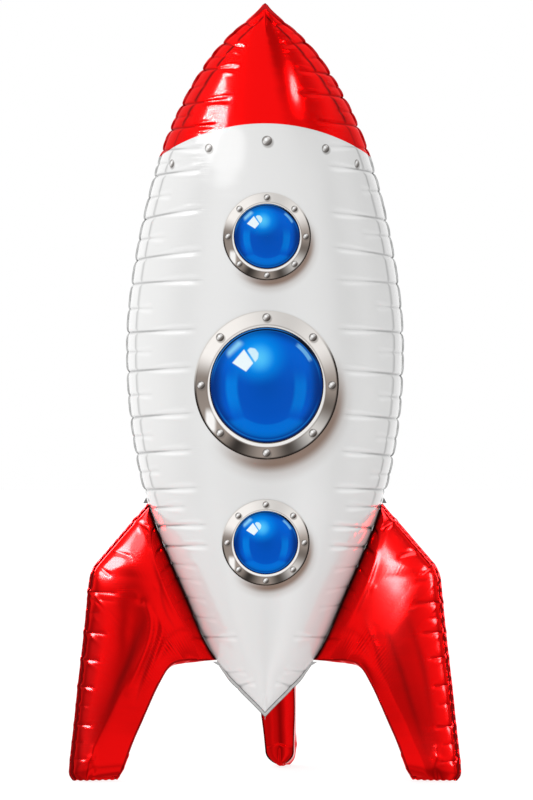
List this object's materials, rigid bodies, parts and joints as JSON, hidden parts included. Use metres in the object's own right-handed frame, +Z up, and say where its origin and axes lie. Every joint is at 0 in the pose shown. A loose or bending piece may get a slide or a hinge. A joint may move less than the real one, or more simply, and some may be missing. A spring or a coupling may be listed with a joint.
{
  "type": "rocket foil balloon",
  "caption": "Standing rocket foil balloon: an inflated spindle envelope with printed portholes, on three inflated fins that serve as its feet.",
  "frame": {"origin": "on the floor, under the centre of the bounding box", "axes": "+Z up from the feet to the nose; the front with the portholes faces -Y; +X is the viewer's right"},
  "size_m": [0.7558, 0.6492, 1.5],
  "materials": {
    "red_foil": "metallised film, mirror bright, red",
    "white_foil": "metallised film under a pearl white print",
    "silver_foil": "bare metallised film along the heat seals",
    "printed_ring": "print on film: a polished steel ring with rivets",
    "printed_glass": "print on film: a blue glass dome"
  },
  "bodies": {
    "root": {"nose_front": "red_foil", "nose_rear_left": "red_foil", "nose_rear_right": "red_foil", "hull_front": "white_foil", "hull_rear_left": "white_foil", "hull_rear_right": "white_foil", "seam_left": "silver_foil", "seam_right": "silver_foil", "seam_rear": "silver_foil", "porthole_ring_upper": "printed_ring", "porthole_ring_middle": "printed_ring", "porthole_ring_lower": "printed_ring", "porthole_glass_upper": "printed_glass", "porthole_glass_middle": "printed_glass", "porthole_glass_lower": "printed_glass", "fin_left_front_panel": "red_foil", "fin_left_rear_panel": "red_foil", "fin_left_gusset": "red_foil", "fin_left_flange": "red_foil", "fin_left_top_tab": "silver_foil", "fin_left_low_tab": "silver_foil", "fin_right_front_panel": "red_foil", "fin_right_rear_panel": "red_foil", "fin_right_gusset": "red_foil", "fin_right_flange": "red_foil", "fin_right_top_tab": "silver_foil", "fin_right_low_tab": "silver_foil", "fin_rear_left_panel": "red_foil", "fin_rear_right_panel": "red_foil", "fin_rear_gusset": "red_foil", "fin_rear_flange": "red_foil", "fin_rear_top_tab": "silver_foil", "fin_rear_low_tab": "silver_foil", "inflation_valve": "silver_foil"}
  },
  "joints": []
}
